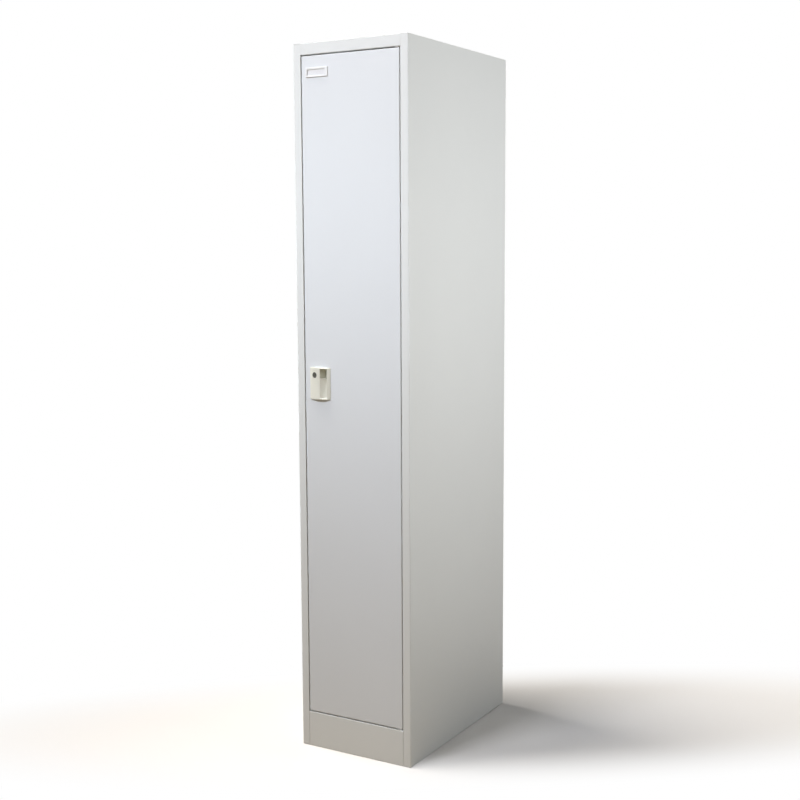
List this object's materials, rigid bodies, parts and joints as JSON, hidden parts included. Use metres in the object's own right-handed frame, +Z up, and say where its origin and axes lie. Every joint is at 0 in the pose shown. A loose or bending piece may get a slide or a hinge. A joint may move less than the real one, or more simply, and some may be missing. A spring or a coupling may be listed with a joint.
{
  "type": "single door locker",
  "caption": "Tall steel locker with folded sheet sides, a kick plate, a pivot hung door with a recessed locking handle and a name card frame, and a hat shelf and hanger rod inside.",
  "frame": {"origin": "on the floor, in the middle of the locker's footprint with its handle", "axes": "+X to the right seen from the front, +Y to the back, +Z up"},
  "size_m": [0.327, 0.5376, 1.79],
  "materials": {
    "cabinet_paint": "pale grey powder coat, satin, fine orange peel",
    "door_paint": "pale grey powder coat, satin, fine orange peel",
    "ivory_plastic": "moulded, semi-gloss",
    "white_plastic": "moulded, semi-gloss",
    "dark_nickel": "dark nickel plate",
    "zinc_steel": "zinc plate",
    "chrome": "bright plate",
    "nylon": "natural, as moulded",
    "rubber": "matt black",
    "card_stock": "blank, uncoated"
  },
  "bodies": {
    "cabinet": {"left_side_panel": "cabinet_paint", "right_side_panel": "cabinet_paint", "left_foot_angle": "cabinet_paint", "right_foot_angle": "cabinet_paint", "left_door_jamb": "cabinet_paint", "right_door_jamb": "cabinet_paint", "top_panel": "cabinet_paint", "kick_plate": "cabinet_paint", "back_panel": "cabinet_paint", "floor_pan": "cabinet_paint", "floor_rib": "cabinet_paint", "hat_shelf": "cabinet_paint", "left_shelf_rail": "cabinet_paint", "right_shelf_rail": "cabinet_paint", "hanger_rod": "chrome", "left_rod_socket": "zinc_steel", "right_rod_socket": "zinc_steel", "upper_hinge_plate": "zinc_steel", "lower_hinge_plate": "zinc_steel", "upper_hinge_bush": "nylon", "lower_hinge_bush": "nylon", "lower_door_buffer": "rubber", "middle_door_buffer": "rubber", "upper_door_buffer": "rubber"},
    "door": {"door_skin": "door_paint", "door_rib": "door_paint", "lock_side_channel": "door_paint", "hinge_side_channel": "door_paint", "upper_pin_block": "zinc_steel", "lower_pin_block": "zinc_steel", "upper_hinge_pin": "zinc_steel", "lower_hinge_pin": "zinc_steel", "thrust_washer": "zinc_steel", "handle_body": "ivory_plastic", "handle_retainer": "zinc_steel", "name_card_frame": "white_plastic", "lock_barrel": "dark_nickel", "lock_nut": "zinc_steel"},
    "lock_core": {"lock_plug": "dark_nickel", "lock_cam": "zinc_steel", "cam_washer": "zinc_steel", "cam_screw": "zinc_steel"},
    "card": {"name_card": "card_stock"}
  },
  "joints": [
    {"name": "door_hinge", "type": "hinge", "parent": "cabinet", "child": "door", "pos_m": [0.1315, -0.25175, 0.9271], "axis": [0, 0, 1], "range_deg": [0, 110]},
    {"name": "lock_turn", "type": "hinge", "parent": "door", "child": "lock_core", "pos_m": [-0.1066, -0.25825, 0.9757], "axis": [0, 1, 0], "range_deg": [0, 90]},
    {"name": "card_slide", "type": "slide", "parent": "door", "child": "card", "axis": [-1, 0, 0], "range_m": [0, 0.048]}
  ]
}
